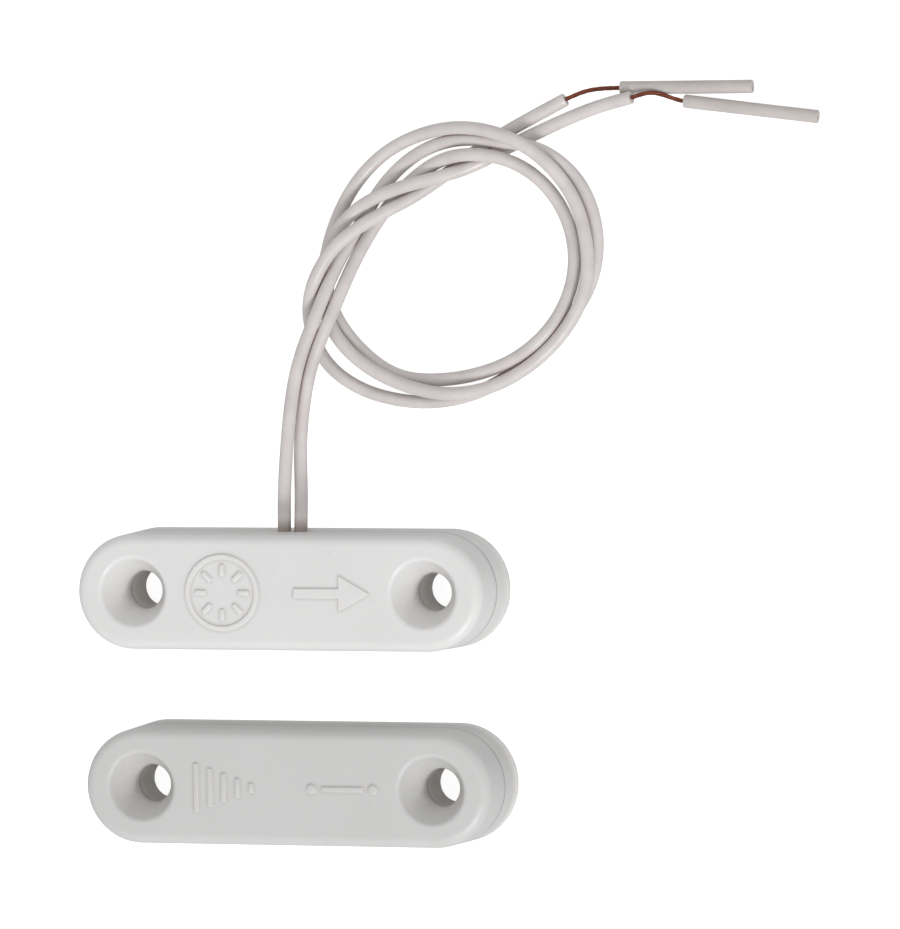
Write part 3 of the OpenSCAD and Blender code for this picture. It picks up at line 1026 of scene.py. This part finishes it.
LEAD_2 = Lead(
    number=2,
    side=1,
    route=(
        (0.0006, 0.0092, 0.0034), (0.0003, 0.0130, 0.0027), (0.0007, 0.0172, 0.0028),
        (0.0018, 0.0217, 0.0031), (0.0038, 0.0260, 0.0033), (0.0053, 0.0302, 0.0019),
        (0.0073, 0.0342, 0.0007), (0.0103, 0.0378, 0.0007), (0.0139, 0.0402, 0.0016),
        (0.0178, 0.0408, 0.0030), (0.0216, 0.0399, 0.0021), (0.0246, 0.0372, 0.0008),
        (0.0265, 0.0333, 0.0007), (0.0267, 0.0292, 0.0009), (0.0251, 0.0250, 0.0019),
        (0.0217, 0.0219, 0.0019), (0.0178, 0.0203, 0.0012), (0.0136, 0.0196, 0.0007),
        (0.0095, 0.0199, 0.0007), (0.0060, 0.0222, 0.0007), (0.0032, 0.0258, 0.0007),
        (0.0023, 0.0300, 0.0007), (0.0033, 0.0342, 0.0007), (0.0054, 0.0381, 0.0007),
        (0.0085, 0.0411, 0.0007), (0.0125, 0.0428, 0.0014), (0.0166, 0.0433, 0.0028),
        (0.0206, 0.0426, 0.0038), (0.0239, 0.0407, 0.0031), (0.0268, 0.0370, 0.0018),
        (0.0282, 0.0327, 0.0020), (0.0282, 0.0284, 0.0021), (0.0263, 0.0245, 0.0021),
        (0.0230, 0.0212, 0.0021), (0.0190, 0.0190, 0.0021), (0.0146, 0.0183, 0.0021),
        (0.0102, 0.0192, 0.0020), (0.0061, 0.0213, 0.0020), (0.0032, 0.0246, 0.0020),
        (0.0025, 0.0286, 0.0020), (0.0032, 0.0327, 0.0020), (0.0059, 0.0357, 0.0022),
        (0.0098, 0.0376, 0.0022), (0.0139, 0.0386, 0.0022), (0.0174, 0.0397, 0.0016),
        (0.0206, 0.0415, 0.0008), (0.0283, 0.0448, 0.0008), (0.0326, 0.0459, 0.0017),
    ),
    bend=(0.0346, 0.0463, 0.0015),
    slug_start=(0.0374, 0.0455, 0.0007),
    slug_turn=-7.0,
    slug_length=12.9 * MM,
)


# ---- Housings and what they hold ------------------------------------------------------------


class Half(Enum):
    """The two halves, by the first word of their nodes' names."""

    SWITCH = "switch"
    MAGNET = "magnet"


@dataclass
class Housing:
    """The rear and the front cover of one half.

    Attributes:
        half: Which half it is.
        plastic: Its finish.
        seam_bevel: Width of the bevel on both sides of the seam, in metres.
        mark_height: How far the raised marks stand above the face, in metres.
        mark_bevel: Width of the bevel on the raised marks, in metres.
        mark_reach: How far down the marks' edges are looked for, over their height.
    """

    half: Half
    plastic: MouldedPlastic
    seam_bevel: float = 0.06 * MM
    mark_height: float = 0.18 * MM
    mark_bevel: float = 0.085 * MM
    mark_reach: float = 1.2

    def build_cover(self, which: str, mark_z: float) -> None:
        """Builds one cover from its node's shape, with rounded edges.

        Args:
            which: rear or front.
            mark_z: Height above which an edge is on a raised mark or at its foot.
        """
        node = f"{self.half.value}_{which}_cover"
        mesh = merged_copy(node)
        soften(mesh, self.seam_bevel, only=lambda edge: self.height(edge) < mark_z)
        soften(mesh, self.mark_bevel, CORNER_ANGLE, 2, lambda edge: self.height(edge) >= mark_z)
        place_piece(object_from(f"{node}_moulded", mesh), self.plastic, node)

    @staticmethod
    def height(edge: Edge) -> float:
        """The height of an edge's middle."""
        return (edge.verts[0].co.z + edge.verts[1].co.z) / 2

    def build(self) -> None:
        """Builds both covers."""
        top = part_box(f"{self.half.value}_front_cover")[1].z
        mark_z = top - self.mark_reach * self.mark_height
        self.build_cover("rear", mark_z)
        self.build_cover("front", mark_z)


@dataclass
class ReedSwitch:
    """The glass capsule, its blades and wires, and what holds and joins them.

    Attributes:
        wall: Thickness of the capsule's wall, in metres.
        seal: Length of each fused end, in metres.
        end_rounding: Rounding of the fused ends, in metres.
        same_place: How near along X the two ends of a ring's edge are, in metres.
        clear_of_wire: Least radius of a rounded ring, over the wire's.
        metal_edge: Width of the bevels on blades and wires, in metres.
        bead_edge: Width of those on the solder, in metres.
        saddle_edge: Width of those on the saddles, in metres.
        compound_edge: Width of those on the sealing compound, in metres.
    """

    wall: float = 0.22 * MM
    seal: float = 1.1 * MM
    end_rounding: float = 0.25 * MM
    same_place: float = 0.001 * MM
    clear_of_wire: float = 1.5
    metal_edge: float = 0.03 * MM
    bead_edge: float = 0.02 * MM
    saddle_edge: float = 0.15 * MM
    compound_edge: float = 0.2 * MM

    def build_capsule(self) -> None:
        """Builds the closed capsule round its wires."""
        low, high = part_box("reed_glass")
        wire_low, wire_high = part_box("reed_end_wire")
        outer = (high.z - low.z) / 2
        wire = (wire_high.z - wire_low.z) / 2
        end = (high.x - low.x) / 2
        inner_end = end - self.seal
        inner = outer - self.wall
        skin = [(-end, wire), (-end, outer), (end, outer), (end, wire)]
        hollow = [(inner_end, wire), (inner_end, inner), (-inner_end, inner), (-inner_end, wire)]
        mesh = revolve(skin + hollow)
        least = wire * self.clear_of_wire
        soften(mesh, self.end_rounding, CORNER_ANGLE, 4, lambda edge: self.is_ring(edge, least))
        centre = (low + high) / 2
        bmesh.ops.translate(mesh, vec=centre, verts=mesh.verts)
        place_piece(object_from("reed_capsule", mesh), GLASS, "reed_glass")

    def is_ring(self, edge: Edge, least_radius: float) -> bool:
        """Whether an edge runs round the X axis outside a radius."""
        a, b = (vertex.co for vertex in edge.verts)
        return abs(a.x - b.x) < self.same_place and math.hypot(a.y, a.z) > least_radius

    def build(self) -> None:
        """Builds every piece of the reed switch."""
        self.build_capsule()
        for node, name, finish, width in (
            ("reed_fixed_blade", "fixed_contact_blade", REED_METAL, self.metal_edge),
            ("reed_moving_blade", "moving_contact_blade", REED_METAL, self.metal_edge),
            ("reed_end_wire", "moving_blade_wire", REED_METAL, self.metal_edge),
            ("reed_saddles", "capsule_saddles", SILICONE, self.saddle_edge),
            ("exit_sealant", "lead_sealing_compound", SILICONE, self.compound_edge),
            ("solder_joint_1", "solder_bead_1", SOLDER, self.bead_edge),
            ("solder_joint_2", "solder_bead_2", SOLDER, self.bead_edge),
        ):
            softened_node(node, name, finish, width)


@dataclass
class MagnetStack:
    """The bar magnet and the foam pad over it.

    Attributes:
        edge: Width of the magnet's small bevels, in metres.
        pad_edge: Width of the pad's, in metres.
    """

    edge: float = 0.08 * MM
    pad_edge: float = 0.25 * MM

    def build(self) -> None:
        """Builds both pieces."""
        softened_node("bar_magnet", "ferrite_bar", FERRITE, self.edge)
        softened_node("magnet_pad", "foam_pad", FOAM, self.pad_edge)


# ---- Studio ---------------------------------------------------------------------------------


@dataclass(frozen=True)
class SoftLight:
    """One large soft light.

    Attributes:
        name: The light's name.
        place: Where it stands, in metres.
        power: Its power, in watts.
        size: Its side, in metres.
    """

    name: str
    place: Point
    power: float
    size: float

    def build(self, target: Vector) -> None:
        """Sets the light up so that it faces a target.

        Args:
            target: The point that it faces.
        """
        data = bpy.data.lights.new(self.name, "AREA")
        data.shape = "SQUARE"
        data.size = self.size
        data.energy = self.power
        made = add_object(self.name, data)
        made.location = self.place
        made.rotation_mode = "QUATERNION"
        away = Vector(self.place) - target
        made.rotation_quaternion = away.to_track_quat("Z", "Y")


@dataclass
class Studio:
    """Camera, floor and light.

    Attributes:
        target: The point that the camera looks at, in metres.
        distance: How far the camera stands from it, in metres.
        lean_x: The camera's lean from the vertical towards +X, in radians.
        lean_y: Its lean towards +Y, in radians.
        roll: Its turn about the line of sight, in radians.
        lens: Focal length, in millimetres.
        sensor: Width of the sensor, in millimetres.
        clip: Nearest and farthest distance that the camera sees, in metres.
        floor_size: Side of the floor, in metres.
        floor_drop: How far the floor lies under the part, in metres.
        floor_grey: How much light the floor gives back, 0 to 1.
        floor_glow: How brightly the floor shines towards the camera, as a light table does.
        table_glow: How brightly it shines on the part.
        ambient: Strength of the surrounding light.
        key: The one lamp.
    """

    target: Point = (0.01558, 0.01186, 0.00475)
    distance: float = 0.7
    lean_x: float = 0.2847
    lean_y: float = 0.0487
    roll: float = -0.0105
    lens: float = 300.0
    sensor: float = 36.0
    clip: Span = (0.01, 10.0)
    floor_size: float = 3.0
    floor_drop: float = 0.02 * MM
    floor_grey: float = 0.60
    floor_glow: float = 0.78
    table_glow: float = 0.08
    ambient: float = 0.65
    key: SoftLight = SoftLight("key_light", (0.38, -0.60, 0.70), 3.55, 0.24)

    def build_camera(self) -> None:
        """Sets the camera up and makes it the scene's own."""
        back = Vector((math.tan(self.lean_x), math.tan(self.lean_y), 1.0)).normalized()
        across = Vector((0.0, 1.0, 0.0)).cross(back).normalized()
        above = back.cross(across)
        right = math.cos(self.roll) * across + math.sin(self.roll) * above
        up = back.cross(right)
        data = bpy.data.cameras.new("camera")
        data.lens = self.lens
        data.sensor_width = self.sensor
        data.sensor_fit = "HORIZONTAL"
        data.clip_start, data.clip_end = self.clip
        camera = add_object("camera", data)
        camera.location = Vector(self.target) + back * self.distance
        camera.rotation_mode = "QUATERNION"
        camera.rotation_quaternion = Matrix((right, up, back)).transposed().to_quaternion()
        bpy.context.scene.camera = camera

    def build_floor(self) -> None:
        """Builds the plain white floor."""
        mesh = bmesh.new()
        bmesh.ops.create_grid(mesh, x_segments=4, y_segments=4, size=self.floor_size / 2)
        bmesh.ops.translate(mesh, vec=(0.0, 0.0, -self.floor_drop), verts=mesh.verts)
        floor = object_from("floor", mesh, smooth=False)
        material = bpy.data.materials.new("floor_white")
        material.use_nodes = True
        graph = Graph(material.node_tree)
        seen = graph.add("LightPath").outputs["Is Camera Ray"]
        glow = {0: seen, 1: self.floor_glow, 2: self.table_glow}
        white = {
            "Base Color": (*[self.floor_grey] * 3, 1.0),
            "Roughness": 0.9,
            "Specular IOR Level": 0.0,
            "Emission Color": (1.0, 1.0, 1.0, 1.0),
            "Emission Strength": graph.add("Math", glow, operation="MULTIPLY_ADD").outputs[0],
        }
        shader = graph.add("BsdfPrincipled", white)
        graph.add("OutputMaterial", {"Surface": shader.outputs["BSDF"]})
        floor.data.materials.append(material)

    def build_light(self) -> None:
        """Sets up the surrounding light and the lamp."""
        world = bpy.data.worlds.new("studio")
        world.use_nodes = True
        sky = world.node_tree.nodes["Background"]
        sky.inputs["Color"].default_value = (1.0, 1.0, 1.0, 1.0)
        sky.inputs["Strength"].default_value = self.ambient
        bpy.context.scene.world = world
        self.key.build(Vector(self.target))

    def build(self) -> None:
        """Sets up the whole studio, without tone mapping so that white stays white."""
        self.build_camera()
        self.build_floor()
        self.build_light()
        bpy.context.scene.view_settings.view_transform = "Standard"


def main() -> None:
    """Builds the studio, the leads and both halves."""
    logging.basicConfig(level=logging.INFO, format="%(name)s: %(message)s")
    Studio().build()
    for lead in (LEAD_1, LEAD_2):
        lead.build()
    Housing(Half.SWITCH, SWITCH_PLASTIC).build()
    Housing(Half.MAGNET, MAGNET_PLASTIC).build()
    ReedSwitch().build()
    MagnetStack().build()


if __name__ == "__main__":
    main()
